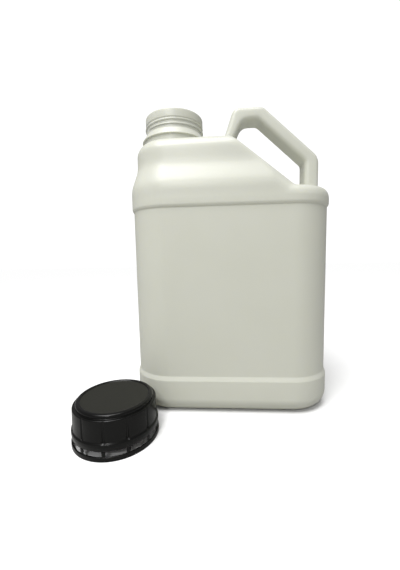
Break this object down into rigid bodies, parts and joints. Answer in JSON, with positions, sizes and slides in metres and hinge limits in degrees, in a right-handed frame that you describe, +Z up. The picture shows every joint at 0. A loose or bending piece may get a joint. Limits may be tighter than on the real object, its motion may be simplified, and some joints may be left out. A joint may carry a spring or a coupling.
{
  "type": "detergent bottle",
  "caption": "Rectangular blow-moulded jug with a slanted hollow handle and a threaded neck at one end, with its ribbed screw cap and tamper ring standing beside it.",
  "frame": {"origin": "middle of the jug's base, on the surface that it stands on", "axes": "+X right along the jug's width, from the neck towards the low end of the handle; +Y to the back; +Z up, out of the mouth"},
  "size_m": [0.2311, 0.1943, 0.301],
  "materials": {
    "jug_hdpe": "satin natural-white blow-moulded polyethylene",
    "cap_pp": "satin black moulded polypropylene",
    "wad_foam": "matt white closed-cell polyethylene foam"
  },
  "bodies": {
    "jug": {"container": "jug_hdpe"},
    "band": {"tamper_band": "cap_pp"},
    "liner": {"liner_wad": "wad_foam"},
    "cap": {"screw_cap": "cap_pp"}
  },
  "joints": [
    {"name": "closure_lift", "type": "slide", "parent": "jug", "child": "band", "axis": [0, 0, 1], "range_m": [0, 0.33]},
    {"name": "cap_unscrew_rise", "type": "slide", "parent": "band", "child": "liner", "axis": [0, 0, 1], "range_m": [0, 0.00881]},
    {"name": "cap_unscrew_turn", "type": "hinge", "parent": "liner", "child": "cap", "pos_m": [-0.099, -0.0942, 0], "axis": [0, 0, 1], "range_deg": [0, 720]}
  ],
  "couplings": [
    {"joint": "cap_unscrew_rise", "follows": "cap_unscrew_turn", "m_per_rad": 0.00070028}
  ]
}
